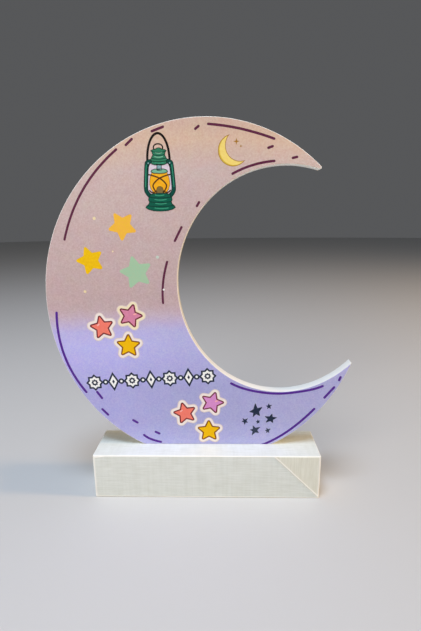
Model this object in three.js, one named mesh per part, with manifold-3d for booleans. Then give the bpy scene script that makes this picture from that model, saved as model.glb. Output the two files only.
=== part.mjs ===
// Crescent moon table decoration: a cut and printed board that stands in the slot of a film-wrapped block.
// Millimetres, +Z up. The origin is the centre of the block's underside, and the printed face looks along -Y.
import * as THREE from 'three';
import { mergeVertices } from 'three/addons/utils/BufferGeometryUtils.js';
import Module from 'manifold-3d';

const wasm = await Module();
wasm.setup();

// Driving dimensions of the stand, outside the film
const baseLength = 200;
const baseDepth = 44.5;
const baseHeight = 41.5;
const blockCornerRadius = 0.75; // upright arrises of the bare block
const blockArris = 0.5; // rounding along its top and bottom edges
const filmThickness = 0.25;
const filmHem = 0.3; // the film is trimmed this far above the lower arris of the block

// The spare corner of the film, folded from the right-hand end on to the front
const foldBeadWidth = 0.9; // the folded edge stands up as a narrow bead
const foldBeadRise = 0.2;

// The crescent board
const boardThickness = 9;
const boardSetBack = 2; // middle of the board behind the middle of the stand
const boardArris = 0.2;
const upperTipRadius = 1.2;
const lowerTipRadius = 0.25;

// Both curves of the crescent are ovals whose upper and lower halves differ in height.
// The outer oval is placed by its lowest point, sunk below the top of the stand.
const outerOval = { x: 0.9, halfWidth: 135.8, rise: 143, drop: 148.6 };
const outerSink = 14.4;
// The hollow is placed from the middle of the outer oval.
const hollowOval = { halfWidth: 88.3, rise: 93.1, drop: 96.9 };
const hollowRight = 64.6;
const hollowUp = 14.7;

// The tab under the foot and its slot
const tabLength = 80;
const tabDepth = 15;
const slotClearance = 0.3;

// The print on the face
const printThickness = 0.25;
const printInset = 0.8; // white line left between the print and the edge of the board
const printFootGap = 0.3; // the print stops this far above the stand

// Fineness of the curves
const outerSteps = 150;
const hollowSteps = 110;
const tipSteps = 8;
const cornerSteps = 3;
const arrisSteps = 3;

// Values that follow from the driving dimensions
const outer = { ...outerOval, z: baseHeight - outerSink + outerOval.drop };
const hollow = { ...hollowOval, x: outer.x + hollowRight, z: outer.z + hollowUp };
const boardBack = boardSetBack + boardThickness / 2;
const boardFront = boardSetBack - boardThickness / 2;
const boardReach = 2 * (outer.rise + outer.drop); // longer than any cut through the board
const overlap = 0.1; // how far joined bodies run into each other

// Booleans

function solid(geometry) {
  const bare = geometry.clone();
  bare.deleteAttribute('normal');
  bare.deleteAttribute('uv');
  const merged = mergeVertices(bare, 1e-5);
  const vertProperties = new Float32Array(merged.attributes.position.array);
  const triVerts = new Uint32Array(merged.index.array);
  return new wasm.Manifold(new wasm.Mesh({ numProp: 3, vertProperties, triVerts }));
}

function namedMesh(name, body, material) {
  const { vertProperties, triVerts } = body.getMesh();
  const geometry = new THREE.BufferGeometry();
  geometry.setAttribute('position', new THREE.BufferAttribute(vertProperties, 3));
  geometry.setIndex(new THREE.BufferAttribute(triVerts, 1));
  geometry.computeVertexNormals();
  const mesh = new THREE.Mesh(geometry, material);
  mesh.name = name;
  return mesh;
}

function boxBetween(low, high) {
  const size = new THREE.Vector3().subVectors(high, low);
  const geometry = new THREE.BoxGeometry(size.x, size.y, size.z);
  geometry.translate(low.x + size.x / 2, low.y + size.y / 2, low.z + size.z / 2);
  return solid(geometry);
}

// An upright plate: the outline is drawn in X and Z, and the plate comes forward from its back face
function uprightPlate(outline, thickness, backFace, arris = 0) {
  const geometry = new THREE.ExtrudeGeometry(outline, {
    depth: thickness - 2 * arris,
    bevelEnabled: arris > 0,
    bevelThickness: arris,
    bevelSize: arris,
    bevelOffset: -arris,
    bevelSegments: arrisSteps,
  });
  geometry.translate(0, 0, arris);
  geometry.rotateX(Math.PI / 2);
  geometry.translate(0, backFace, 0);
  return solid(geometry);
}

// A bar that stands on z = 0 with rounded corners in plan and eased edges above and below
function easedBar(length, depth, height, cornerRadius, arris) {
  const x = length / 2 - cornerRadius;
  const y = depth / 2 - cornerRadius;
  const plan = new THREE.Shape();
  plan.absarc(x, y, cornerRadius, 0, Math.PI / 2);
  plan.absarc(-x, y, cornerRadius, Math.PI / 2, Math.PI);
  plan.absarc(-x, -y, cornerRadius, Math.PI, Math.PI * 1.5);
  plan.absarc(x, -y, cornerRadius, Math.PI * 1.5, Math.PI * 2);
  const geometry = new THREE.ExtrudeGeometry(plan, {
    depth: height - 2 * arris,
    curveSegments: cornerSteps,
    bevelEnabled: true,
    bevelThickness: arris,
    bevelSize: arris,
    bevelOffset: -arris,
    bevelSegments: arrisSteps,
  });
  geometry.translate(0, 0, arris);
  return solid(geometry);
}

// The crescent outline

function ovalPoint(oval, angle, grow = 0) {
  const height = Math.sin(angle) > 0 ? oval.rise : oval.drop;
  return new THREE.Vector2(
    oval.x + (oval.halfWidth + grow) * Math.cos(angle),
    oval.z + (height + grow) * Math.sin(angle),
  );
}

// The angle of a point as the oval counts it, and how far out it lies, 1 being on the oval
function onOval(oval, point, grow = 0) {
  const height = point.y > oval.z ? oval.rise : oval.drop;
  const across = (point.x - oval.x) / (oval.halfWidth + grow);
  const up = (point.y - oval.z) / (height + grow);
  return { angle: Math.atan2(up, across), reach: Math.hypot(across, up) };
}

// A tip is rounded by the circle that touches both curves from inside the board.
// Its centre lies one radius inside the outer curve and one radius outside the hollow.
function tipCircle(side, radius, inset) {
  const offset = inset + radius;
  let inHollow = 0;
  let inBoard = side * Math.PI;
  for (let halving = 0; halving < 50; halving++) {
    const middle = (inHollow + inBoard) / 2;
    const point = ovalPoint(outer, middle, -offset);
    if (onOval(hollow, point, offset).reach < 1) {
      inHollow = middle;
    } else {
      inBoard = middle;
    }
  }
  const centre = ovalPoint(outer, inBoard, -offset);
  return { centre, radius, outerAngle: inBoard, hollowAngle: onOval(hollow, centre, offset).angle };
}

function sweep(from, to, steps, pointAt) {
  const points = [];
  for (let step = 0; step < steps; step++) {
    points.push(pointAt(from + ((to - from) * step) / steps));
  }
  return points;
}

function crescentOutline(inset) {
  const turn = 2 * Math.PI;
  const upper = tipCircle(1, upperTipRadius, inset);
  const lower = tipCircle(-1, lowerTipRadius, inset);
  const round = (tip) => (angle) =>
    new THREE.Vector2(
      tip.centre.x + tip.radius * Math.cos(angle),
      tip.centre.y + tip.radius * Math.sin(angle),
    );
  return new THREE.Shape([
    ...sweep(upper.outerAngle, lower.outerAngle + turn, outerSteps, (a) => ovalPoint(outer, a, -inset)),
    ...sweep(lower.outerAngle, lower.hollowAngle + Math.PI, tipSteps, round(lower)),
    ...sweep(lower.hollowAngle, upper.hollowAngle - turn, hollowSteps, (a) => ovalPoint(hollow, a, inset)),
    ...sweep(upper.hollowAngle - Math.PI, upper.outerAngle, tipSteps, round(upper)),
  ]);
}

// Everything of a standing plate that lies below a height
function below(height) {
  return boxBetween(
    new THREE.Vector3(-boardReach, -boardReach, -boardReach),
    new THREE.Vector3(boardReach, boardReach, height),
  );
}

// The pieces

function crescentBoard() {
  const plate = uprightPlate(crescentOutline(0), boardThickness, boardBack, boardArris);
  const tab = boxBetween(
    new THREE.Vector3(-tabLength / 2, boardFront, baseHeight - tabDepth),
    new THREE.Vector3(tabLength / 2, boardBack, baseHeight + overlap),
  );
  return plate.subtract(below(baseHeight)).add(tab);
}

function crescentPrint() {
  const sheet = uprightPlate(crescentOutline(printInset), printThickness, boardFront);
  return sheet.subtract(below(baseHeight + printFootGap));
}

function bareBlock() {
  return easedBar(
    baseLength - 2 * filmThickness,
    baseDepth - 2 * filmThickness,
    baseHeight - filmThickness,
    blockCornerRadius,
    blockArris,
  );
}

// The slot, open at the top: the tab with its clearance all round and under it
function slot() {
  return boxBetween(
    new THREE.Vector3(
      -tabLength / 2 - slotClearance,
      boardFront - slotClearance,
      baseHeight - tabDepth - slotClearance,
    ),
    new THREE.Vector3(
      tabLength / 2 + slotClearance,
      boardBack + slotClearance,
      baseHeight + tabDepth,
    ),
  );
}

// The folded corner: a triangle of film whose free edge rises at 45 degrees from the lower right corner
function foldedCorner() {
  const end = baseLength / 2;
  const right = end - blockCornerRadius - filmThickness;
  const top = baseHeight - blockArris - filmThickness;
  const foldFoot = end - right;
  const front = -baseDepth / 2;
  const flap = new THREE.Shape([
    new THREE.Vector2(right, foldFoot),
    new THREE.Vector2(right, top),
    new THREE.Vector2(end - top, top),
  ]);
  const alongTop = foldBeadWidth * Math.SQRT2;
  const bead = new THREE.Shape([
    new THREE.Vector2(right, foldFoot),
    new THREE.Vector2(right, foldFoot + alongTop),
    new THREE.Vector2(end - top + alongTop, top),
    new THREE.Vector2(end - top, top),
  ]);
  const flapBody = uprightPlate(flap, filmThickness + overlap, front + overlap);
  const beadBody = uprightPlate(bead, filmThickness + foldBeadRise + overlap, front + overlap);
  return flapBody.add(beadBody);
}

function baseWrap() {
  const cover = easedBar(
    baseLength,
    baseDepth,
    baseHeight,
    blockCornerRadius + filmThickness,
    blockArris + filmThickness,
  );
  return cover
    .subtract(below(blockArris + filmHem))
    .add(foldedCorner())
    .subtract(bareBlock())
    .subtract(slot());
}

// Materials

const whitePaint = new THREE.MeshStandardMaterial({ color: 0xf2efe8, roughness: 0.5, metalness: 0 });
const printedFilm = new THREE.MeshStandardMaterial({ color: 0xbfb1cf, roughness: 0.55, metalness: 0 });
const bareWood = new THREE.MeshStandardMaterial({ color: 0xd8bd92, roughness: 0.8, metalness: 0 });
const grainFilm = new THREE.MeshStandardMaterial({ color: 0xe9e6de, roughness: 0.5, metalness: 0 });

const decoration = new THREE.Group();
decoration.add(
  namedMesh('base_block', bareBlock().subtract(slot()), bareWood),
  namedMesh('base_wrap', baseWrap(), grainFilm),
  namedMesh('crescent_board', crescentBoard(), whitePaint),
  namedMesh('crescent_print', crescentPrint(), printedFilm),
);

export default decoration;
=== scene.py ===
# Looks for the crescent table decoration: fine pieces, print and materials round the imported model.
import math
import bmesh
import bpy
from mathutils import Matrix, Vector


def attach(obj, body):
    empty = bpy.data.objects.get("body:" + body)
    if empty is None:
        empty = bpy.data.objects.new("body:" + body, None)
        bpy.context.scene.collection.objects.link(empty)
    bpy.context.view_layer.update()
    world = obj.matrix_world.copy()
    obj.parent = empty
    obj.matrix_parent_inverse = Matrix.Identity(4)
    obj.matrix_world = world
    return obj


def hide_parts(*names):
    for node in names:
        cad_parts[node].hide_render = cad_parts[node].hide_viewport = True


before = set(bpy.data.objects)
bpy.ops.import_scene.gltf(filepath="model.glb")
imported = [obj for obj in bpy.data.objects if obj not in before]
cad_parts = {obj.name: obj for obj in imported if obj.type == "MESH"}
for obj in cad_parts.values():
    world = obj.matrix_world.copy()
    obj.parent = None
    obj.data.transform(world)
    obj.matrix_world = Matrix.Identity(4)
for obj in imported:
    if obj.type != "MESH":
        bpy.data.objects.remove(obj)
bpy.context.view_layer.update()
scene = bpy.context.scene
mm = 0.001  # lengths in the settings are millimetres
tiny = 1e-7  # points nearer than this are taken as one


def linear(hexColour):  # sRGB hex to the linear colour a shader takes
    parts = [int(hexColour[i:i + 2], 16) / 255 for i in (1, 3, 5)]
    return [p / 12.92 if p < 0.04045 else ((p + 0.055) / 1.055) ** 2.4 for p in parts] + [1]


def addNode(tree, kind, settings=None, inputs=None):
    node = tree.nodes.new("ShaderNode" + kind)
    for name, value in (settings or {}).items():
        setattr(node, name, value)
    for socket, value in (inputs or {}).items():
        if isinstance(value, bpy.types.NodeSocket):
            tree.links.new(value, node.inputs[socket])
        else:
            node.inputs[socket].default_value = value
    return node


def newMaterial(name, **shaderValues):
    material = bpy.data.materials.new(name)
    material.use_nodes = True
    tree = material.node_tree
    shader = tree.nodes["Principled BSDF"]
    for socket, value in shaderValues.items():
        shader.inputs[socket].default_value = value
    return material, tree, shader


def setRamp(node, stops):
    ramp = node.color_ramp
    while len(ramp.elements) < len(stops):
        ramp.elements.new(0.5)
    for element, (place, colour) in zip(ramp.elements, stops):
        element.position = place
        element.color = colour


def addNoise(tree, place, size, detail):  # blotches of about this size in millimetres
    return addNode(tree, "TexNoise", None, {"Vector": place, "Scale": 1 / (size * mm), "Detail": detail})


def addRange(tree, value, start, end, top=1.0):  # rises from 0 at the start to the top at the end
    return addNode(tree, "MapRange", None, {
        "Value": value, "From Min": start, "From Max": end, "To Max": top}).outputs[0]


def mixColours(tree, share, first, second, blend="MIX"):  # 6 and 7 are the sockets for colours
    return addNode(tree, "Mix", {"data_type": "RGBA", "blend_type": blend}, {
        0: share, 6: first, 7: second}).outputs[2]


def mixValues(tree, share, first, second):  # 2 and 3 are the sockets for plain numbers
    return addNode(tree, "Mix", {"data_type": "FLOAT"}, {0: share, 2: first, 3: second}).outputs[0]


def addRelief(tree, shader, height, depth, strength):  # a fine relief, its depth in millimetres
    bump = addNode(tree, "Bump", None, {"Strength": strength, "Distance": depth * mm, "Height": height})
    tree.links.new(bump.outputs["Normal"], shader.inputs["Normal"])


# Sprayed white paint over a machined edge: an even satin with a faint orange peel
paint = {
    "colour": "#fbfaf4", "shade": "#f3f1e8", "roughness": 0.42, "refraction": 1.5, "cloud": 14,
    "peel": 0.9, "peelDepth": 0.012, "peelStrength": 0.5,
}


def makeSprayedPaint():
    material, tree, shader = newMaterial("sprayedWhitePaint", Roughness=paint["roughness"],
                                         IOR=paint["refraction"])
    place = addNode(tree, "TexCoord").outputs["Object"]
    cloud = addNoise(tree, place, paint["cloud"], detail=3)
    tint = mixColours(tree, cloud.outputs["Fac"], linear(paint["colour"]), linear(paint["shade"]))
    peel = addNoise(tree, place, paint["peel"], detail=2)
    addRelief(tree, shader, peel.outputs["Fac"], paint["peelDepth"], paint["peelStrength"])
    tree.links.new(tint, shader.inputs["Base Color"])
    return material


# Ink under a matt laminate: a lavender printed sky with the ink's fine grain, which turns to warm mauve
# higher up; that warm mauve upper part is painted warm light on the top of the face, and the soft turn
# between them is the painted edge of that light
sky = {
    "heights": [(42, "#c2c1f7"), (62, "#b8b7ee"), (95, "#b7b5ed"), (120, "#c2befa"), (136, "#c6c4fd"),
                (148, "#c6c0f4"), (162, "#cfbac9"), (169, "#ccb3b7"), (176, "#cbb1b3"), (278, "#d5beba"),
                (300, "#dfc0aa"), (318, "#d5b7a8")],
    "turnFrom": -80, "turnTo": -45, "turnRise": 2.8,
    "paintedShadeFrom": -80, "paintedShadeTo": -20, "paintedShadeTop": 165, "paintedShadeBottom": 140, "paintedShadeTint": "#f6f9f4",
    "paintedLightFrom": 10, "paintedLightTo": 110, "paintedLightTint": "#fffdf6", "paintedLightLift": 1.12,
    "roughness": 0.55, "refraction": 1.38, "grain": 1.1, "grainShare": 0.28, "cloud": 9, "cloudShare": 0.12,
    "peel": 0.8, "peelDepth": 0.01, "peelStrength": 0.4,
}


def makeSkyPrintAndPaintedLight():
    material, tree, shader = newMaterial("laminatedSkyPrintAndPaintedLight", Roughness=sky["roughness"],
                                         IOR=sky["refraction"])
    place = addNode(tree, "TexCoord").outputs["Object"]
    apart = addNode(tree, "SeparateXYZ", None, {0: place})
    across, up = apart.outputs["X"], apart.outputs["Z"]
    turned = addRange(tree, across, sky["turnFrom"] * mm, sky["turnTo"] * mm, sky["turnRise"] * mm)
    level = addNode(tree, "Math", {"operation": "SUBTRACT"}, {0: up, 1: turned})  # the painted edge of the light lies higher on the right
    # painted light: the warm mauve and peach stops over the upper face stand for warm light falling there;
    # the lavender below is the print
    low, high = sky["heights"][0][0], sky["heights"][-1][0]
    ramp = addNode(tree, "ValToRGB", None, {"Fac": addRange(tree, level.outputs[0], low * mm, high * mm)})
    setRamp(ramp, [((stop - low) / (high - low), linear(colour)) for stop, colour in sky["heights"]])
    # painted shade: the lavender is darkened towards the right, just below the warm band
    toRight = addRange(tree, across, sky["paintedShadeFrom"] * mm, sky["paintedShadeTo"] * mm)
    lowDown = addRange(tree, up, sky["paintedShadeTop"] * mm, sky["paintedShadeBottom"] * mm)
    share = addNode(tree, "Math", {"operation": "MULTIPLY"}, {0: toRight, 1: lowDown})
    withPaintedShade = mixColours(tree, share.outputs[0], ramp.outputs["Color"], linear(sky["paintedShadeTint"]), "MULTIPLY")
    paler = addRange(tree, across, sky["paintedLightFrom"] * mm, sky["paintedLightTo"] * mm)  # painted light: the sky is made brighter towards the right-hand tips
    lift = [part * sky["paintedLightLift"] for part in linear(sky["paintedLightTint"])]
    withPaintedLight = mixColours(tree, paler, withPaintedShade, lift, "MULTIPLY")
    grain = addNoise(tree, place, sky["grain"], detail=2)
    speckled = mixColours(tree, sky["grainShare"], withPaintedLight, grain.outputs["Fac"], "OVERLAY")
    cloud = addNoise(tree, place, sky["cloud"], detail=2)
    clouded = mixColours(tree, sky["cloudShare"], speckled, cloud.outputs["Color"], "SOFT_LIGHT")
    peel = addNoise(tree, place, sky["peel"], detail=1)
    addRelief(tree, shader, peel.outputs["Fac"], sky["peelDepth"], sky["peelStrength"])
    tree.links.new(clouded, shader.inputs["Base Color"])
    return material


# A motif's ink under the same laminate: even colour with a fine grain, and less sheen, so that it looks deep
motifInk = {"refraction": 1.24, "grain": 1.6, "grainLow": 0.35, "grainHigh": 0.65}


def makeInk(name, colour, shade):
    material, tree, shader = newMaterial("printedInk" + name[0].upper() + name[1:],
                                         Roughness=sky["roughness"], IOR=motifInk["refraction"])
    place = addNode(tree, "TexCoord").outputs["Object"]
    grain = addNoise(tree, place, motifInk["grain"], detail=3)
    share = addRange(tree, grain.outputs["Fac"], motifInk["grainLow"], motifInk["grainHigh"])
    tint = mixColours(tree, share, linear(colour), linear(shade))
    peel = addNoise(tree, place, sky["peel"], detail=1)
    addRelief(tree, shader, peel.outputs["Fac"], sky["peelDepth"], sky["peelStrength"])
    tree.links.new(tint, shader.inputs["Base Color"])
    return material


# Embossed wood-grain film: off-white vinyl whose fine broken lines run one way; drawn a little coarse to show
filmFinish = {
    "light": "#edf1eb", "dark": "#dbdfd6", "lightUprightPaintedWarm": "#f4f4e6", "darkUprightPaintedWarm": "#e3e2d1",
    "roughness": 0.48, "refraction": 1.52, "grainLow": 0.35, "grainHigh": 0.65,
    "lineLength": 16, "lineGap": 0.8, "lineRoughness": 0.6, "mottle": 9, "mottleShare": 0.25,
    "band": 2.4, "bandDepth": 8, "bandHeight": 24, "bandShare": 0.22, "depth": 0.03, "strength": 0.6,
}


def makeGrainFilm(name, upright):
    look = filmFinish
    # the upright copy is the same vinyl tinted warmer: painted warm light on the folded corner and the ends
    light, dark = look["lightUprightPaintedWarm" if upright else "light"], look["darkUprightPaintedWarm" if upright else "dark"]
    material, tree, shader = newMaterial(name, Roughness=look["roughness"], IOR=look["refraction"])
    place = addNode(tree, "TexCoord").outputs["Object"]
    across, along = 1 / (look["lineGap"] * mm), 1 / (look["lineLength"] * mm)
    stretch = (across, across, along) if upright else (along, across, across)
    lines = addNode(tree, "Mapping", None, {"Vector": place, "Scale": stretch})
    grain = addNode(tree, "TexNoise", None, {
        "Vector": lines.outputs[0], "Scale": 1, "Detail": 4, "Roughness": look["lineRoughness"]})
    mottle = addNoise(tree, place, look["mottle"], detail=2)
    both = mixValues(tree, look["mottleShare"], grain.outputs["Fac"], mottle.outputs["Fac"])
    gap = 1 / (look["band"] * mm)
    posts = addNode(tree, "Mapping", None, {  # the faint upright bands across the lines
        "Vector": place, "Scale": (gap, gap / look["bandDepth"], gap / look["bandHeight"])})
    bands = addNode(tree, "TexNoise", None, {"Vector": posts.outputs[0], "Scale": 1, "Detail": 2})
    woven = mixValues(tree, look["bandShare"], both, bands.outputs["Fac"])
    share = addRange(tree, woven, look["grainLow"], look["grainHigh"])
    addRelief(tree, shader, grain.outputs["Fac"], look["depth"], look["strength"])
    tree.links.new(mixColours(tree, share, linear(dark), linear(light)), shader.inputs["Base Color"])
    return material


# The same film drawn tight over an arris, its emboss stretched flat so that it is smoother; its whiter colour
# is a painted highlight where the arrises, the fold bead, the bubble and the crease catch the light
highlightBand = {"colour": "#fffef8", "wear": "#fdfbf0", "wearSize": 5, "roughness": 0.35}


def makeHighlightFilm():
    material, tree, shader = newMaterial("filmPaintedHighlight", Roughness=highlightBand["roughness"],
                                         IOR=filmFinish["refraction"])
    place = addNode(tree, "TexCoord").outputs["Object"]
    wear = addNoise(tree, place, highlightBand["wearSize"], detail=3)
    tint = mixColours(tree, wear.outputs["Fac"], linear(highlightBand["colour"]), linear(highlightBand["wear"]))
    tree.links.new(tint, shader.inputs["Base Color"])
    return material


# Sawn softwood: pale straw with darker year rings and fine fibres along the block
wood = {
    "pale": "#e3c79a", "ring": "#c79c63", "ringStretch": 0.06, "pith": (0, 30, 50),
    "ringGap": 4.5, "ringUnit": 0.314,  # a ring of the wave texture is this wide at scale 1
    "wander": 2.5, "wanderScale": 1.5, "fibre": 0.5, "fibresAlong": 30, "fibreShare": 0.4,
    "fibreDepth": 0.05, "fibreStrength": 0.5, "roughness": 0.75, "refraction": 1.45,
}


def makeSoftwood():
    material, tree, shader = newMaterial("sawnSoftwood", Roughness=wood["roughness"], IOR=wood["refraction"])
    place = addNode(tree, "TexCoord").outputs["Object"]
    turned = addNode(tree, "Mapping", None, {
        "Vector": place, "Location": [part * mm for part in wood["pith"]],
        "Scale": (wood["ringStretch"], 1, 1)})
    rings = addNode(tree, "TexWave", {"wave_type": "RINGS", "rings_direction": "X"}, {
        "Vector": turned.outputs[0], "Scale": wood["ringUnit"] / (wood["ringGap"] * mm),
        "Distortion": wood["wander"], "Detail": 2, "Detail Scale": wood["wanderScale"]})
    tint = mixColours(tree, rings.outputs["Fac"], linear(wood["pale"]), linear(wood["ring"]))
    across = 1 / (wood["fibre"] * mm)
    fine = addNode(tree, "Mapping", None, {"Vector": place, "Scale": (wood["fibresAlong"], across, across)})
    fibre = addNode(tree, "TexNoise", None, {"Vector": fine.outputs[0], "Scale": 1, "Detail": 3})
    soft = mixColours(tree, wood["fibreShare"], tint, fibre.outputs["Color"], "SOFT_LIGHT")
    addRelief(tree, shader, fibre.outputs["Fac"], wood["fibreDepth"], wood["fibreStrength"])
    tree.links.new(soft, shader.inputs["Base Color"])
    return material


whitePaint = makeSprayedPaint()
skyPrintAndPaintedLight = makeSkyPrintAndPaintedLight()
filmAlong = makeGrainFilm("grainFilmAlong", False)
filmUpright = makeGrainFilm("grainFilmUpright", True)
highlightFilm = makeHighlightFilm()
softwood = makeSoftwood()
inkColours = {  # each ink, and the shade of its grain
    "purple": ("#562795", "#5f2f9d"),
    "plum": ("#5f2541", "#682b4b"),
    "amber": ("#ffc83f", "#ffc14a"),
    "yellow": ("#ffcf0a", "#f9c608"),
    "gold": ("#ffcb00", "#ffc400"),
    "mint": ("#b1d1ad", "#a9d3b0"),
    "straw": ("#f7e7ba", "#f3e0ae"),
    "paleMint": ("#d3dfd3", "#ccdbce"),
    "coral": ("#ff826e", "#ff8878"),
    "orchid": ("#e592b2", "#df89ab"),
    "lilac": ("#e69bda", "#e092d3"),
    "maroon": ("#6e1228", "#78182c"),
    "cream": ("#fff2d0", "#ffeeca"),
    "blush": ("#fff6ee", "#fff2ec"),
    "haze": ("#ecdcd6", "#e8d8d6"),
    "glint": ("#ffc2b8", "#ffb8b2"),
    "pane": ("#e6dae6", "#dfd3e2"),
    "white": ("#ffffff", "#fcfefa"),
    "navy": ("#202b44", "#28354c"),
    "slate": ("#3e475c", "#363f55"),
    "ochre": ("#b5842f", "#ae7d2a"),
    "moonYellow": ("#ffe784", "#fddf78"),
    "moonShade": ("#e5c548", "#dfbd42"),
    "green": ("#005c48", "#04654f"),
    "deepTeal": ("#00493e", "#045145"),
    "deepGreen": ("#04302b", "#062a26"),
    "capGreen": ("#318867", "#2c7e5d"),
    "jade": ("#3fa380", "#379a77"),
    "paleGreen": ("#84c4a4", "#78bb9a"),
    "mist": ("#8fb9bd", "#86b0b6"),
    "burner": ("#8d7642", "#80693a"),
    "black": ("#140c0c", "#1b1210"),
    "wire": ("#5a3216", "#64391a"),
    "flame": ("#ffb20a", "#ffc028"),
    "brown": ("#834208", "#8c4a0c"),
}
inks = {name: makeInk(name, *colours) for name, colours in inkColours.items()}
inkOrder = list(inks)
print("materials made")


def drawFace(bm, outline, level=0.0):  # a flat face, drawn with X across and Y up
    return bm.faces.new([bm.verts.new((x * mm, y * mm, level * mm)) for x, y in outline])


def only(kind, parts):  # the vertices, edges or faces among what an operator gives back
    return [part for part in parts if isinstance(part, kind)]


def slicePlane(bm, place, normal, **more):  # cuts all faces along a plane
    cut = bmesh.ops.bisect_plane(bm, geom=bm.verts[:] + bm.edges[:] + bm.faces[:], dist=tiny,
                                 plane_co=place, plane_no=normal, **more)
    return only(bmesh.types.BMEdge, cut["geom_cut"])


def climb(edge):  # the difference in height of an edge's ends
    return abs(edge.verts[0].co.z - edge.verts[1].co.z)


def roundEdges(bm, edges, width, segments=4):
    return bmesh.ops.bevel(bm, geom=edges, offset=width * mm, segments=segments, profile=0.5,
                           affect="EDGES", material=-1)["faces"]


def thicken(bm, faces, height):  # raises flat faces into plates
    raised = bmesh.ops.extrude_face_region(bm, geom=list(faces))["geom"]
    bmesh.ops.translate(bm, vec=(0, 0, height * mm), verts=only(bmesh.types.BMVert, raised))


def cutBelow(bm, height):  # takes off all that lies under a height of the drawing and closes the cut
    rim = slicePlane(bm, (0, height * mm, 0), (0, -1, 0), clear_outer=True)
    bmesh.ops.edgeloop_fill(bm, edges=rim)


sharpAngle = math.radians(50)


def finishPiece(name, bm, body, materials, place=None, standsFor=()):
    bmesh.ops.remove_doubles(bm, verts=bm.verts, dist=tiny)
    bmesh.ops.recalc_face_normals(bm, faces=bm.faces)
    if place is not None:
        bmesh.ops.transform(bm, matrix=place, verts=bm.verts)
    for face in bm.faces:
        face.smooth = len(face.verts) < 5  # broad flat sheets keep their own straight normal
    for edge in bm.edges:
        edge.smooth = edge.is_manifold and edge.calc_face_angle() < sharpAngle
    mesh = bpy.data.meshes.new(name)
    bm.to_mesh(mesh)
    bm.free()
    for material in materials:
        mesh.materials.append(material)
    piece = bpy.data.objects.new(name, mesh)
    scene.collection.objects.link(piece)
    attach(piece, body)
    if standsFor:
        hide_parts(*standsFor)
    print("made", name, len(mesh.polygons), "faces")
    return piece


def facing(front, shift=(0, 0)):  # stands a drawing upright, its drawn side towards the viewer at that depth
    place = Matrix.Translation((shift[0] * mm, front * mm, shift[1] * mm))
    return place @ Matrix.Rotation(math.radians(90), 4, "X")


# The crescent board and the printed sheet on its face: two ovals, each with unlike upper and lower halves
outerOval = {"x": 0.9, "z": 175.7, "halfWidth": 135.8, "rise": 143.0, "drop": 148.6}
hollowOval = {"x": 65.5, "z": 190.4, "halfWidth": 88.3, "rise": 93.1, "drop": 96.9}
board = {
    "front": -2.5, "back": 6.5, "foot": 41.5, "arris": 0.2, "tips": (1.2, 0.25),
    "ease": 0.01,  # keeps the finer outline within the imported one
    "tabLength": 80, "tabDepth": 15, "outerSteps": 260, "hollowSteps": 190, "tipSteps": 12,
}
sheet = {"thickness": 0.25, "inset": 0.45, "tips": (0.9, 0.15), "footGap": 0.3, "edge": 0.05}


def ovalPoint(oval, angle, grow):
    height = oval["rise"] if math.sin(angle) > 0 else oval["drop"]
    return Vector((oval["x"] + (oval["halfWidth"] + grow) * math.cos(angle),
                   oval["z"] + (height + grow) * math.sin(angle)))


def onOval(oval, point, grow):  # the angle of a point, and how far out it lies, 1 being on the oval
    height = oval["rise"] if point.y > oval["z"] else oval["drop"]
    across = (point.x - oval["x"]) / (oval["halfWidth"] + grow)
    up = (point.y - oval["z"]) / (height + grow)
    return math.atan2(up, across), math.hypot(across, up)


def tipCircle(side, radius, inset):  # the circle in a tip that touches both curves from inside
    offset = inset + radius
    inHollow, inBoard = 0.0, side * math.pi
    for halving in range(50):
        middle = (inHollow + inBoard) / 2
        if onOval(hollowOval, ovalPoint(outerOval, middle, -offset), offset)[1] < 1:
            inHollow = middle
        else:
            inBoard = middle
    centre = ovalPoint(outerOval, inBoard, -offset)
    return centre, inBoard, onOval(hollowOval, centre, offset)[0]


def sweep(start, end, steps, pointAt):
    return [pointAt(start + (end - start) * step / steps) for step in range(steps)]


def crescentOutline(inset, tips):  # tips holds the radii of the upper and the lower tip
    upper, upperOuter, upperHollow = tipCircle(1, tips[0], inset)
    lower, lowerOuter, lowerHollow = tipCircle(-1, tips[1], inset)
    turn = 2 * math.pi

    def roundTip(centre, radius):
        return lambda angle: centre + radius * Vector((math.cos(angle), math.sin(angle)))

    def along(oval, grow):
        return lambda angle: ovalPoint(oval, angle, grow)

    return (sweep(upperOuter, lowerOuter + turn, board["outerSteps"], along(outerOval, -inset))
            + sweep(lowerOuter, lowerHollow + math.pi, board["tipSteps"], roundTip(lower, tips[1]))
            + sweep(lowerHollow, upperHollow - turn, board["hollowSteps"], along(hollowOval, inset))
            + sweep(upperHollow - math.pi, upperOuter, board["tipSteps"], roundTip(upper, tips[0])))


def makeBoard():
    bm = bmesh.new()
    backFace = drawFace(bm, crescentOutline(board["ease"], board["tips"]), -board["back"])
    thicken(bm, [backFace], board["back"] - board["front"])
    rims = [e for e in bm.edges if climb(e) < tiny]
    roundEdges(bm, rims, board["arris"])
    cutBelow(bm, board["foot"])
    half = board["tabLength"] / 2 * mm
    for side in (-1, 1):  # the ends of the tab
        slicePlane(bm, (side * half, 0, 0), (1, 0, 0))
    under = [f for f in bm.faces if abs(f.calc_center_median().y - board["foot"] * mm) < tiny
             and abs(f.calc_center_median().x) < half]
    tab = bmesh.ops.extrude_face_region(bm, geom=under)["geom"]
    bmesh.ops.translate(bm, vec=(0, -board["tabDepth"] * mm, 0), verts=only(bmesh.types.BMVert, tab))
    return finishPiece("crescentBoard", bm, "crescent", [whitePaint], facing(0),
                       ["crescent_board"])


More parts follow.
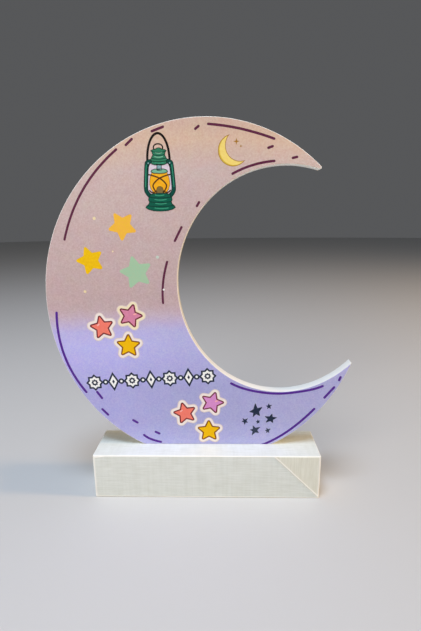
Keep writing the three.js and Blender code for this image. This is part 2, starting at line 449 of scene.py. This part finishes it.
def makeSheet():
    bm = bmesh.new()
    thicken(bm, [drawFace(bm, crescentOutline(sheet["inset"], sheet["tips"]))], sheet["thickness"])
    cutBelow(bm, board["foot"] + sheet["footGap"])
    rim = [e for e in bm.edges if min(v.co.z for v in e.verts) > sheet["thickness"] * mm - tiny]
    roundEdges(bm, rim, sheet["edge"], 2)
    return finishPiece("printedSheet", bm, "crescent", [skyPrintAndPaintedLight], facing(board["front"]),
                       ["crescent_print"])


makeBoard()
makeSheet()
print("crescent made")


# The film round the block, drawn tight over its arrises and open under it and over the slot
film = {
    "length": 200, "depth": 44.5, "height": board["foot"], "corner": 1.0, "arris": 0.75, "thickness": 0.25,
    "hem": 0.12, "highlightBand": 0.7, "slotGap": 0.3,
}
highlightSlot, endFilm = 1, 2  # places of the film with painted highlights and of the upright film, painted warmer, among the materials of a piece
straight = 0.99  # a face whose normal comes this near an axis looks along it


def makeFilm():
    bm = bmesh.new()
    block = bmesh.ops.create_cube(bm, size=1)["verts"]
    bmesh.ops.scale(bm, vec=(film["length"] * mm, film["depth"] * mm, film["height"] * mm), verts=block)
    bmesh.ops.translate(bm, vec=(0, 0, film["height"] / 2 * mm), verts=block)
    posts = [e for e in bm.edges if climb(e) > 1 * mm]
    # painted highlight: the rounded corners and arrises take the whiter film
    for face in roundEdges(bm, posts, film["corner"]):
        face.material_index = highlightSlot
    rim = [e for e in bm.edges if climb(e) < tiny]
    for face in roundEdges(bm, rim, film["arris"]):
        face.material_index = highlightSlot
    for face in bm.faces:  # the ends are covered by film whose grain stands upright, in its warmer copy with painted warm light
        if abs(face.normal.x) > straight:
            face.material_index = endFilm
    slicePlane(bm, (0, 0, film["hem"] * mm), (0, 0, -1), clear_outer=True)
    highlightLimits = Vector((film["length"] / 2 - film["corner"] - film["highlightBand"],
                    film["depth"] / 2 - film["corner"] - film["highlightBand"],
                    film["arris"] + film["highlightBand"])) * mm
    for side in (1, -1):
        slicePlane(bm, (side * highlightLimits.x, 0, 0), (1, 0, 0))
    for side in (1, -1):
        slicePlane(bm, (0, side * highlightLimits.y, 0), (0, 1, 0))
    slicePlane(bm, (0, 0, highlightLimits.z), (0, 0, 1))
    for face in bm.faces:  # painted highlight: the bands beside the lower and the upright arrises take the whiter film too
        middle = face.calc_center_median()
        beside = abs(middle.x) > highlightLimits.x if abs(face.normal.y) > straight else abs(middle.y) > highlightLimits.y
        if abs(face.normal.z) < 1 - straight and (beside or middle.z < highlightLimits.z):
            face.material_index = highlightSlot
    half = (board["tabLength"] / 2 + film["slotGap"]) * mm
    front, back = (board["front"] - film["slotGap"]) * mm, (board["back"] + film["slotGap"]) * mm
    for place, normal in (((-half, 0, 0), (1, 0, 0)), ((half, 0, 0), (1, 0, 0)),
                          ((0, front, 0), (0, 1, 0)), ((0, back, 0), (0, 1, 0))):
        top = [f for f in bm.faces if f.normal.z > straight]
        bmesh.ops.bisect_plane(bm, geom=top + list({e for f in top for e in f.edges})
                               + list({v for f in top for v in f.verts}), dist=tiny,
                               plane_co=place, plane_no=normal)
    opening = [f for f in bm.faces if f.normal.z > straight and abs(f.calc_center_median().x) < half
               and front < f.calc_center_median().y < back]
    bmesh.ops.delete(bm, geom=opening, context="FACES")
    bmesh.ops.recalc_face_normals(bm, faces=bm.faces)
    bmesh.ops.solidify(bm, geom=bm.faces[:], thickness=film["thickness"] * mm)
    return finishPiece("wrapFilm", bm, "stand", [filmAlong, highlightFilm, filmUpright], None,
                       ["base_wrap"])


# The spare corner of the film, folded from the end on to the front
fold = {
    "right": film["length"] / 2 - film["corner"],
    "foot": film["corner"], "top": film["height"] - film["arris"],
    "lean": 45, "beadWidth": 1.45, "beadHeight": 0.44, "beadSides": 20, "beadSpare": 2,
    "kink": (87.9, 12.4), "kinkSize": 0.75,
    "crease": [(0, -1.85), (2.5, -1.15), (9.5, -0.15), (9.5, 0), (0, 0)],  # from the upper left corner
    "creaseRise": 0.14,
}


def makeFoldedCorner():
    bm = bmesh.new()
    right, foot, top, spare = fold["right"], fold["foot"], fold["top"], fold["beadSpare"]
    rise = top - foot
    thicken(bm, [drawFace(bm, [(right, foot), (right, top), (right - rise, top)])], film["thickness"])

    def paintHighlight(verts):  # painted highlight where the fold and the bubble stand up
        for face in {f for v in verts for f in v.link_faces}:
            face.material_index = highlightSlot

    bead = bmesh.ops.create_circle(bm, cap_ends=True, radius=1, segments=fold["beadSides"])["verts"]
    bmesh.ops.scale(bm, vec=(fold["beadWidth"] / 2 * mm, fold["beadHeight"] * mm, 1), verts=bead)
    grown = bmesh.ops.extrude_face_region(bm, geom=list({f for v in bead for f in v.link_faces}))["geom"]
    far = only(bmesh.types.BMVert, grown)
    bmesh.ops.translate(bm, vec=(0, 0, (rise * math.sqrt(2) + 2 * spare) * mm), verts=far)
    paintHighlight(bead + far)
    corner = Matrix.Translation((right * mm, foot * mm, 0))
    leaning = Matrix.Rotation(math.radians(fold["lean"]), 4, "Z")
    aside = Matrix.Translation((fold["beadWidth"] / 2 * mm, -spare * mm, 0))
    lying = corner @ leaning @ aside @ Matrix.Rotation(math.radians(-90), 4, "X")
    bmesh.ops.transform(bm, matrix=lying, verts=bead + far)

    kink = bmesh.ops.create_icosphere(bm, subdivisions=3, radius=1)["verts"]
    size = fold["kinkSize"] * mm
    bmesh.ops.scale(bm, vec=(size, size, fold["beadHeight"] * mm), verts=kink)
    bmesh.ops.translate(bm, vec=(fold["kink"][0] * mm, fold["kink"][1] * mm, 0), verts=kink)
    paintHighlight(kink)
    # painted highlight along the right-hand edge of the folded corner
    highlightFrom = (right - film["highlightBand"]) * mm
    slicePlane(bm, (highlightFrom, 0, 0), (1, 0, 0))
    for face in bm.faces:
        if face.calc_center_median().x > highlightFrom:
            face.material_index = highlightSlot
    crease = drawFace(bm, [(x - right, y + top) for x, y in fold["crease"]])  # spare film, pressed down, with a painted highlight
    crease.material_index = highlightSlot
    thicken(bm, [crease], fold["creaseRise"])
    for place, normal in (((right, 0, 0), (1, 0, 0)), ((0, top, 0), (0, 1, 0)), ((0, 0, 0), (0, 0, -1))):
        cut = slicePlane(bm, [p * mm for p in place], normal, clear_outer=True)
        rim = [e for e in cut if e.is_boundary]
        if rim:
            bmesh.ops.holes_fill(bm, edges=rim, sides=0)
    return finishPiece("foldedCorner", bm, "stand", [filmUpright, highlightFilm], facing(-film["depth"] / 2))


makeFilm()
makeFoldedCorner()
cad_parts["base_block"].data.materials.clear()
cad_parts["base_block"].data.materials.append(softwood)
print("stand made")


# Each printed motif is a plate of ink on the sheet, drawn in millimetres on the face
ink = {
    "front": board["front"] - sheet["thickness"], "layer": 0.02,
    "shift": (-0.41, 0.41),  # of all motifs together against the board
}


def smoothPath(points, steps=8):  # a curve through the points
    points = [Vector(point) for point in points]
    if len(points) < 3:
        return points
    around = ([3 * points[0] - 3 * points[1] + points[2]] + points
              + [3 * points[-1] - 3 * points[-2] + points[-3]])
    path = []
    for a, b, c, d in zip(around, around[1:], around[2:], around[3:]):
        for t in (step / steps for step in range(steps)):
            path.append(0.5 * (2 * b + (c - a) * t + (2 * a - 5 * b + 4 * c - d) * t ** 2
                               + (3 * b - a - 3 * c + d) * t ** 3))
    return path + [points[-1]]


def strokeOutline(path, width, endSteps=6):  # a pen stroke with round ends
    right, left, half = [], [], width / 2
    for i, point in enumerate(path):
        along = (path[min(i + 1, len(path) - 1)] - path[max(i - 1, 0)]).normalized()
        side = Vector((-along.y, along.x)) * half
        right.append(point - side)
        left.append(point + side)

    def roundEnd(point, outward):
        turned = [math.radians(-90 + 180 * step / endSteps) for step in range(1, endSteps)]
        return [point + half * (Matrix.Rotation(angle, 2) @ outward) for angle in turned]

    return (right + roundEnd(path[-1], (path[-1] - path[-2]).normalized()) + left[::-1]
            + roundEnd(path[0], (path[0] - path[1]).normalized()))


def arc(centre, radii, start, end, steps):
    angles = [math.radians(start + (end - start) * step / steps) for step in range(steps + 1)]
    return [Vector((centre[0] + radii[0] * math.cos(a), centre[1] + radii[1] * math.sin(a))) for a in angles]


def disc(centre, radius, sides=24):
    return arc(centre, (radius, radius), 0, 360 - 360 / sides, sides - 1)


def mirrored(profile, middle, foot):  # the outline of a turned shape from its half widths and heights
    right = [Vector((middle + half, foot + height)) for half, height in profile]
    left = [Vector((middle - half, foot + height)) for half, height in reversed(profile) if half > 0]
    return right + left


def roundCorners(corners, radii, steps=6):  # an outline whose corners are arcs that touch both sides
    outline = []
    for i, (corner, radius) in enumerate(zip(corners, radii)):
        back, on = corners[i - 1] - corner, corners[(i + 1) % len(corners)] - corner
        if radius == 0:
            outline.append(corner)
            continue
        half = back.angle(on) / 2
        reach = radius / math.tan(half)
        centre = corner + (back.normalized() + on.normalized()).normalized() * reach / math.cos(half)
        first = corner + back.normalized() * reach - centre
        turn = math.copysign(math.pi - 2 * half, on.cross(back))
        outline += [centre + Matrix.Rotation(turn * step / steps, 2) @ first for step in range(steps + 1)]
    return outline


def starOutline(centre, radius, waist, turn, points=5, tipRound=0.0, waistRound=0.0):
    corners = []
    for i in range(2 * points):
        reach = waist if i % 2 else radius
        angle = math.radians(90 + turn + 180 * i / points)
        corners.append(Vector((centre[0] + reach * math.cos(angle), centre[1] + reach * math.sin(angle))))
    return roundCorners(corners, [tipRound, waistRound] * points)


def drawnIn(outline, width):  # the outline moved inward by an even width
    inner = []
    for i, point in enumerate(outline):
        before = (point - outline[i - 1]).normalized()
        after = (outline[(i + 1) % len(outline)] - point).normalized()
        side = Vector((-after.y, after.x))
        inward = (Vector((-before.y, before.x)) + side).normalized()
        inner.append(point + inward * width / inward.dot(side))
    return inner


def drawInk(bm, outline, colour):
    drawFace(bm, outline).material_index = inkOrder.index(colour)


def drawBands(bm, rims, colours):  # nested outlines: a band between each two of them, a face in the innermost
    rings = [[bm.verts.new((x * mm, y * mm, 0)) for x, y in rim] for rim in rims]
    for outer, inner, colour in zip(rings, rings[1:], colours):
        for i in range(len(outer)):
            band = bm.faces.new((outer[i - 1], outer[i], inner[i], inner[i - 1]))
            band.material_index = inkOrder.index(colour)
    bm.faces.new(rings[-1]).material_index = inkOrder.index(colours[-1])


def finishInk(name, bm, under=0):  # under: how many layers of ink lie under this one
    used = sorted({face.material_index for face in bm.faces})
    for face in bm.faces:
        face.material_index = used.index(face.material_index)
    thicken(bm, bm.faces[:], ink["layer"])
    place = facing(ink["front"] - ink["layer"] * under, ink["shift"])
    return finishPiece(name, bm, "crescent", [inks[inkOrder[i]] for i in used], place)


# Dashes that follow the curves, each a path through points on the face
dashes = {
    "plumWidth": 1.9, "purpleWidth": 2.15, "plumAbove": 200,
    "paths": [
        [(-114, 227.1), (-103.2, 253.3), (-87.6, 276.1), (-67, 295.5)],
        [(-59.2, 298.7), (-54.3, 302.9)],
        [(-38.5, 308.3), (-29.8, 311.3)],
        [(-5, 309.5), (-2.5, 311.4)],
        [(4.9, 312.8), (22.1, 310.6), (38.9, 306.8), (55.5, 301.6)],
        [(51.2, 295.1), (54.5, 296.2)],
        [(70.2, 287.5), (73.5, 288.2)],
        [(23.6, 276.5), (34, 281), (44.8, 284), (56, 285.5)],
        [(-4.8, 252.4), (-3, 255.3)],
        [(-23.3, 225.2), (-17.6, 236)],
        [(-30.2, 208.2), (-33.2, 196.9), (-34.8, 185.3), (-34.9, 173.6)],
        [(-126.7, 165.6), (-126.1, 139.7), (-119.6, 115.3), (-107, 92.6)],
        [(-97.2, 92.7), (-93.3, 86.8)],
        [(-93.7, 75.9), (-88.9, 70.5)],
        [(-66.2, 65.1), (-62.5, 62.7)],
        [(-46.2, 53.4), (-42.9, 51.8)],
        [(-57, 50.3), (-51.2, 46.3), (-41.8, 43.3)],
        [(22.8, 100.8), (40.2, 94.1), (63.2, 91.1), (87, 93.5), (103.2, 98.2)],
        [(49.5, 40.2), (59.3, 44.6), (71.1, 52.2), (83.8, 62.8), (96.9, 76.4)],
        [(105.4, 87.3), (113.3, 97.1)],
        [(117.3, 103.8), (118.3, 106.6)],
    ],
}


def makeDashes():
    bm = bmesh.new()
    for path in dashes["paths"]:
        plum = path[0][1] > dashes["plumAbove"]
        width = dashes["plumWidth" if plum else "purpleWidth"]
        drawInk(bm, strokeOutline(smoothPath(path), width), "plum" if plum else "purple")
    foot = board["foot"] + sheet["footGap"] - ink["shift"][1]
    slicePlane(bm, (0, foot * mm, 0), (0, -1, 0), clear_outer=True)
    return finishInk("printedDashes", bm)


# Plain soft stars and the dots round them
softStars = {
    "stars": [  # middle, reach and turn of each star, and its ink
        ((-65.7, 237.4), 13.3, 31.5, "amber"),
        ((-94.1, 209.8), 13.3, 18.6, "yellow"),
        ((-56.4, 199.5), 15.4, 12.4, "mint"),
    ],
    "waist": 0.5, "tipRound": 1.3, "waistRound": 1.0,
    "dots": [  # middle and radius of each dot, and its ink
        ((-88.2, 243.7), 1.3, "straw"),
        ((-74.9, 217.1), 0.7, "straw"),
        ((-38.1, 212.1), 1.3, "paleMint"),
        ((-100.6, 183.8), 1.2, "straw"),
    ],
    "dotOnDash": ((-33.9, 185), 0.85),
}


def makeSoftStars():
    bm = bmesh.new()
    for centre, radius, turn, colour in softStars["stars"]:
        rim = starOutline(centre, radius, radius * softStars["waist"], turn, tipRound=softStars["tipRound"],
                          waistRound=softStars["waistRound"])
        drawInk(bm, rim, colour)
    for centre, radius, colour in softStars["dots"]:
        drawInk(bm, disc(centre, radius), colour)
    finishInk("softStars", bm)
    bm = bmesh.new()
    centre, radius = softStars["dotOnDash"]
    drawInk(bm, disc(centre, radius), "white")
    return finishInk("dotOnDash", bm, under=1)


# Stars with a dark line and a broad pale border, in two groups of three
linedStars = {
    "stars": [  # middle and turn of each star, its ink and the ink of its border
        ((-63.3, 162.5), -17.1, "orchid", "cream"),
        ((-88.4, 152.5), 10.1, "coral", "blush"),
        ((-66.5, 135.8), -1.6, "gold", "blush"),
        ((-18.9, 72.1), 13.7, "coral", "blush"),
        ((5.8, 82.4), -16.9, "lilac", "blush"),
        ((2.6, 54.6), 0.5, "gold", "blush"),
    ],
    "radius": 12.5, "waist": 6.05, "tipRound": 1.4, "border": 2.0, "haze": 0.7, "line": 1.15,
    "glints": {"orchid": (3.9, 1.5, 20), "coral": (-3.2, 2.2, 40), "lilac": (3.9, 1.5, 20)},  # place and lean
    "glintReach": 0.9, "glintWidth": 1.2,
}


def makeLinedStars():
    bm, glints = bmesh.new(), bmesh.new()
    border, haze, line = linedStars["border"], linedStars["haze"], linedStars["line"]
    for centre, turn, colour, borderInk in linedStars["stars"]:
        rim = starOutline(centre, linedStars["radius"], linedStars["waist"], turn,
                          tipRound=linedStars["tipRound"])
        drawBands(bm, [drawnIn(rim, -border - haze), drawnIn(rim, -border), rim, drawnIn(rim, line)],
                  ["haze", borderInk, "brown" if colour == "gold" else "maroon", colour])
        if colour in linedStars["glints"]:
            across, up, lean = linedStars["glints"][colour]
            middle = Vector(centre) + Vector((across, up))
            reach = Vector((linedStars["glintReach"], 0))
            reach.rotate(Matrix.Rotation(math.radians(lean), 2))
            glint = strokeOutline([middle - reach, middle + reach], linedStars["glintWidth"])
            drawInk(glints, glint, "glint")
    finishInk("linedStars", bm)
    return finishInk("starGlints", glints, under=1)


# The small yellow moon with its sparkles
smallMoon = {
    "outer": ((24.1, 293.7), 11.8), "inner": ((29.7, 297.3), 11.5), "line": 0.45,
    "shade": (0.75, 0.5), "shadeLines": 1.2,  # the lit disc is this many lines smaller than the moon
    "sparkles": [((26.5, 300.1), 2.6), ((30.0, 296.6), 1.4)], "sparkleWaist": 0.3,
}


def moonOutline(outer, outerRadius, inner, innerRadius, steps=40):  # what one round disc leaves of another
    apart = Vector(inner) - Vector(outer)
    toward = math.degrees(math.atan2(apart.y, apart.x))

    def tipAngle(near, far):  # between the line of the middles and a tip
        gap = apart.length
        return math.degrees(math.acos((near ** 2 + gap ** 2 - far ** 2) / (2 * near * gap)))

    outerTip = tipAngle(outerRadius, innerRadius)
    innerTip = 180 - tipAngle(innerRadius, outerRadius)
    return (arc(outer, (outerRadius, outerRadius), toward + outerTip, toward - outerTip + 360, steps)[:-1]
            + arc(inner, (innerRadius, innerRadius), toward - innerTip + 360, toward + innerTip, steps)[:-1])


def makeSmallMoon():
    bm = bmesh.new()
    (outer, outerRadius), (inner, innerRadius) = smallMoon["outer"], smallMoon["inner"]
    line = smallMoon["line"]
    rim = moonOutline(outer, outerRadius, inner, innerRadius)
    within = moonOutline(outer, outerRadius - line, inner, innerRadius + line)
    drawBands(bm, [rim, within], ["ochre", "moonYellow"])
    for centre, reach in smallMoon["sparkles"]:
        drawInk(bm, starOutline(centre, reach, reach * smallMoon["sparkleWaist"], 0, points=4), "ochre")
    finishInk("smallMoon", bm)
    bm = bmesh.new()
    lit = (outer[0] + smallMoon["shade"][0], outer[1] + smallMoon["shade"][1])
    shade = moonOutline(outer, outerRadius - line, lit, outerRadius - line * smallMoon["shadeLines"])
    drawInk(bm, shade, "moonShade")
    return finishInk("moonShade", bm, under=1)


# Dark cut-out stars, each with its own uneven tips
navyStars = {
    "waist": 0.43, "smallWaist": 0.37, "smallBelow": 4.2, "longer": 0.45, "tipRound": 0.3,
    "stars": [  # middle, then for each tip its direction in degrees and its reach, then the ink
        ((45.0, 73.9), [(95, 8.0), (37, 7.1), (-51, 5.6), (-116, 6.3), (-176, 5.9)], "navy"),
        ((58.4, 66.8), [(77, 4.9), (11, 5.8), (-63, 4.5), (-139, 5.9), (158, 5.9)], "navy"),
        ((44.2, 55.3), [(111, 5.0), (34, 5.8), (-34, 4.4), (-117, 5.6), (174, 4.3)], "slate"),
        ((56.4, 78.8), [(92, 3.1), (27, 3.1), (-51, 3.1), (-117, 3.0), (170, 2.6)], "navy"),
        ((35.2, 64.5), [(130, 3.5), (45, 3.7), (-34, 3.2), (-93, 3.8), (-171, 3.0)], "navy"),
        ((55.9, 55.0), [(111, 3.1), (37, 3.4), (-59, 2.7), (-113, 2.9), (175, 2.5)], "slate"),
        ((47.1, 63.8), [(100, 2.4), (30, 2.2), (-50, 2.0), (-120, 2.7), (170, 2.0)], "navy"),
    ],
}


def makeNavyStars():
    bm = bmesh.new()
    for centre, tips, colour in navyStars["stars"]:
        middle, corners = Vector(centre), []
        tips = sorted((angle % 360, reach + navyStars["longer"]) for angle, reach in tips)
        for (angle, reach), (nextAngle, nextReach) in zip(tips, tips[1:] + [(tips[0][0] + 360, tips[0][1])]):
            small = max(reach, nextReach) < navyStars["smallBelow"]
            waist = navyStars["smallWaist" if small else "waist"] * (reach + nextReach) / 2
            for turn, length in ((angle, reach), ((angle + nextAngle) / 2, waist)):
                corners.append(middle + Matrix.Rotation(math.radians(turn), 2) @ Vector((length, 0)))
        drawInk(bm, roundCorners(corners, [navyStars["tipRound"], 0] * len(tips)), colour)
    return finishInk("navyStars", bm)


# A storm lantern of a common kind: flared foot, side tubes, globe, stepped cap, ring and bail
lantern = {
    "middle": -33.9, "foot": 249.2, "line": 0.55, "fineLine": 0.4,
    "wires": [  # middle, radii, first and last angle, steps and width of the bail and of the ring
        ((-0.3, 38.2), (8.7, 19.4), -8, 188, 48, 1.8),
        ((-0.3, 47.4), (3.6, 2.6), -55, 235, 30, 1.0),
    ],
    "pane": [(0, 12.6), (8.2, 13.0), (10.4, 17.0), (9.9, 27.0), (9.3, 35.6), (0, 36.0)],
    "globe": [(4.4, 13.0), (7.2, 16.2), (8.3, 20.2), (7.7, 25.0), (6.0, 29.2)],
    "burner": [(3.6, 12.8), (3.2, 15.0), (2.3, 17.6), (0.9, 18.6)],
    "guard": [(-8.4, 27.4), (-3.8, 26.2), (1.4, 23.8), (5.2, 19.8), (4.6, 16.6), (2.6, 14.2)],
    "curl": [(3.6, 14.6), (6.0, 13.9), (8.2, 15.4)], "guardWidth": 1.1,
    "tube": [(8.2, 11.6), (10.6, 14.8), (11.0, 18.2), (10.4, 27.0), (9.7, 34.6), (9.0, 36.4), (6.8, 37.2)],
    "tubeWidth": 3.5, "lightOut": 0.3, "lightWidth": 0.6, "rivet": (8.4, 35.9, 0.6),
    "parts": [  # half widths and heights of each turned part, and its ink
        ([(2.0, 30.4), (2.0, 35.8)], "mist"),
        ([(0, 27.9), (4.6, 28.2), (6.9, 29.4), (6.2, 30.9), (3.6, 31.8)], "paleGreen"),
        ([(0, -0.7), (5.6, -0.4), (9.8, 0.7), (12.2, 2.3), (11.4, 3.6), (9.6, 5.2), (9.0, 6.8),
          (9.7, 8.2), (9.4, 10.2), (8.4, 11.2), (8.7, 12.4), (5.6, 13.4), (0, 13.6)], "green"),
        ([(0, 34.2), (3.8, 34.4), (6.0, 35.2), (6.3, 36.6), (5.9, 37.4), (7.2, 38.4), (6.2, 39.4),
          (5.6, 40.8), (4.8, 42.0), (5.2, 43.0), (5.4, 44.0), (6.4, 45.0), (5.0, 45.9), (2.6, 46.4),
          (1.2, 47.2), (0, 47.4)], "capGreen"),
    ],
    "ribs": [  # half width and height
        (11.0, 3.9), (8.6, 6.9), (9.0, 10.4), (6.0, 37.6), (5.7, 39.5), (4.6, 42.2), (5.0, 44.4),
    ],
    "ribWidth": 0.5, "ribSag": 0.7,
    "shines": [  # middle, half width of the part, height and ink
        (0.8, 7.6, 2.0, "jade"), (0.4, 6.0, 5.6, "jade"), (0.2, 6.4, 8.6, "jade"), (-0.4, 5.0, 12.0, "jade"),
        (0.2, 4.4, 36.2, "jade"), (0, 4.4, 40.7, "paleGreen"), (0, 3.6, 43.6, "paleGreen"),
    ],
    "shineWidth": 0.75, "shineSag": 0.5, "shineShare": 0.7,
}


def makeLantern():
    middle, foot = lantern["middle"], lantern["foot"]

    def at(x, y):
        return Vector((middle + x, foot + y))

    def sidePath(points, side):
        return smoothPath([at(side * x, y) for x, y in points])

    def sagging(x, half, y, sag):  # a path across the lantern that hangs lower in its middle
        return smoothPath([at(x - half, y), at(x, y - sag), at(x + half, y)])

    wires = bmesh.new()  # bail and hanging ring, behind the cap
    for (x, y), radii, start, end, steps, width in lantern["wires"]:
        drawInk(wires, strokeOutline(arc(at(x, y), radii, start, end, steps), width), "black")
    finishInk("lanternBail", wires)

    pane = bmesh.new()
    drawInk(pane, mirrored(lantern["pane"], middle, foot), "pane")
    finishInk("lanternPane", pane)

    glass = bmesh.new()
    rim = mirrored(lantern["globe"], middle, foot)
    drawBands(glass, [rim, drawnIn(rim, lantern["fineLine"])], ["brown", "flame"])
    finishInk("lanternGlobe", glass, under=1)

    guard = bmesh.new()  # wires of the guard and the burner in front of the globe
    for side in (-1, 1):
        for wire in ("guard", "curl"):
            drawInk(guard, strokeOutline(sidePath(lantern[wire], side), lantern["guardWidth"]), "wire")
    rim = mirrored(lantern["burner"], middle, foot)
    drawBands(guard, [rim, drawnIn(rim, lantern["fineLine"])], ["wire", "burner"])
    finishInk("lanternGuard", guard, under=2)

    tubes = bmesh.new()
    for side in (-1, 1):
        rim = strokeOutline(sidePath(lantern["tube"], side), lantern["tubeWidth"])
        drawBands(tubes, [rim, drawnIn(rim, lantern["line"])], ["deepGreen", "deepTeal"])
    finishInk("lanternTubes", tubes, under=3)

    body = bmesh.new()
    for profile, colour in lantern["parts"]:
        rim = mirrored(profile, middle, foot)
        drawBands(body, [rim, drawnIn(rim, lantern["line"])], ["deepGreen", colour])
    finishInk("lanternBody", body, under=4)

    turned = bmesh.new()  # dark ribs and pale shines that sag like the rims of turned parts
    for half, y in lantern["ribs"]:
        rib = sagging(0, half, y, lantern["ribSag"])
        drawInk(turned, strokeOutline(rib, lantern["ribWidth"]), "deepGreen")
    for x, half, y, colour in lantern["shines"]:
        shine = sagging(x, half * lantern["shineShare"], y, lantern["shineSag"])
        drawInk(turned, strokeOutline(shine, lantern["shineWidth"]), colour)
    across, up, radius = lantern["rivet"]
    for side in (-1, 1):  # the light along the upright stretch of each tube, and its rivet
        light = sidePath([(x + lantern["lightOut"], y) for x, y in lantern["tube"][2:5]], side)
        drawInk(turned, strokeOutline(light, lantern["lightWidth"]), "jade")
        drawInk(turned, disc(at(side * across, up), radius), "mist")
    finishInk("lanternShine", turned, under=5)


# A row of eight-pointed stars, lozenges and beads: bold white bands with a dark edge
ornament = {
    "start": (-98.6, 101.6), "end": (2.2, 107.6), "line": 1.5, "band": 1.9,
    "star": (5.8, 4.45), "starCentre": (1.375, 1.056),  # outer and inner reach
    "lozenge": (3.3, 6.0), "bead": 1.1,
    "places": [
        (0, "star"), (9.7, "bead"), (16.8, "lozenge"), (23.9, "bead"), (33.6, "star"), (43.3, "bead"),
        (50.4, "lozenge"), (57.5, "bead"), (67.2, "star"), (76.9, "bead"), (84.0, "lozenge"), (91.1, "bead"),
        (100.8, "star"),
    ],
}


def makeOrnament():
    bm, centres = bmesh.new(), bmesh.new()
    start, end = Vector(ornament["start"]), Vector(ornament["end"])
    line = ornament["line"]
    lean = math.atan2(end.y - start.y, end.x - start.x)
    across, up = ornament["lozenge"]

    def star(centre, size):
        return starOutline(centre, *ornament[size], math.degrees(lean), points=8)

    for place, kind in ornament["places"]:
        centre = start + place * (end - start).normalized()
        if kind == "bead":
            rim = disc(centre, ornament["bead"])
            drawBands(bm, [drawnIn(rim, -line), rim], ["navy", "white"])
            continue
        if kind == "star":
            rim = star(centre, "star")
            drawInk(centres, star(centre, "starCentre"), "white")
        else:
            rim = [centre + Matrix.Rotation(lean, 2) @ Vector(corner)
                   for corner in ((across, 0), (0, up), (-across, 0), (0, -up))]
        drawBands(bm, [drawnIn(rim, -line), rim, drawnIn(rim, ornament["band"])], ["navy", "white", "navy"])
    finishInk("ornamentRow", bm)
    return finishInk("ornamentCentres", centres, under=1)


makeDashes()
makeSoftStars()
makeLinedStars()
makeSmallMoon()
makeNavyStars()
makeLantern()
makeOrnament()
print("motifs printed")


# The camera as fitted to the photo: first in pixels, then in millimetres and degrees
camera = {
    "frame": (421, 631), "opticalCentre": (211.0, 316.5), "focalPixels": 400.015,
    "place": (13.8, -333.7, 240.11), "yaw": -1.4994, "pitch": 13.263, "roll": -0.608, "sensor": 36,
    "clip": (0.01, 50),
}


def makeCamera():
    width, height = camera["frame"]
    data = bpy.data.cameras.new("camera")
    data.sensor_width = camera["sensor"]
    data.lens = camera["focalPixels"] * camera["sensor"] / height
    data.shift_x = (width / 2 - camera["opticalCentre"][0]) / height
    data.shift_y = (camera["opticalCentre"][1] - height / 2) / height
    data.clip_start, data.clip_end = camera["clip"]
    view = bpy.data.objects.new("camera", data)
    turn = (Matrix.Rotation(math.radians(-camera["yaw"]), 4, "Z")
            @ Matrix.Rotation(math.radians(90 - camera["pitch"]), 4, "X")
            @ Matrix.Rotation(math.radians(camera["roll"]), 4, "Z"))
    view.matrix_world = Matrix.Translation([c * mm for c in camera["place"]]) @ turn
    scene.collection.objects.link(view)
    scene.camera = view


# The floor, matt grey paint under the stand. It isn't part of the object
ground = {"radius": 6, "sides": 64, "drop": 0.02, "colour": "#cdcdcb", "roughness": 0.7}


def makeFloor():
    material, tree, shader = newMaterial("paleFloor", Roughness=ground["roughness"])
    shader.inputs["Base Color"].default_value = linear(ground["colour"])
    bm = bmesh.new()
    bmesh.ops.create_circle(bm, cap_ends=True, radius=ground["radius"], segments=ground["sides"])
    mesh = bpy.data.meshes.new("floor")
    bm.to_mesh(mesh)
    bm.free()
    mesh.materials.append(material)
    floor = bpy.data.objects.new("floor", mesh)
    floor.location.z = -ground["drop"] * mm
    scene.collection.objects.link(floor)


# A cool lamp overhead, a broad one in front on the left, and a small warm one far out on the right
lights = {
    "world": ("#e6e8ec", 0.12),
    "lamps": [  # name, place and aim in metres, width of the disc, watts and colour
        ("overheadLight", (-0.12, -0.4, 1.65), (0, 0, 0.1), 0.7, 21.5, "#d2e5ff"),
        ("frontLight", (-0.75, -1.22, 0.85), (0, 0, 0.14), 0.9, 10.85, "#fff0de"),
        ("warmSide", (2.0, -0.14, 0.85), (0, 0, 0.12), 0.3, 26.0, "#ffd08f"),
    ],
}


def makeLights():
    for name, place, aim, size, power, colour in lights["lamps"]:
        data = bpy.data.lights.new(name, "AREA")
        data.shape = "DISK"
        data.size = size
        data.energy = power
        data.color = linear(colour)[:3]
        lamp = bpy.data.objects.new(name, data)
        lamp.location = place
        lamp.rotation_euler = (Vector(aim) - Vector(place)).to_track_quat("-Z", "Y").to_euler()
        scene.collection.objects.link(lamp)
    world = bpy.data.worlds.new("softStudio")
    world.use_nodes = True
    background = world.node_tree.nodes["Background"]
    background.inputs["Color"].default_value = linear(lights["world"][0])
    background.inputs["Strength"].default_value = lights["world"][1]
    scene.world = world
    scene.view_settings.view_transform = "Standard"


makeCamera()
makeFloor()
makeLights()
print("camera, floor and lights set")
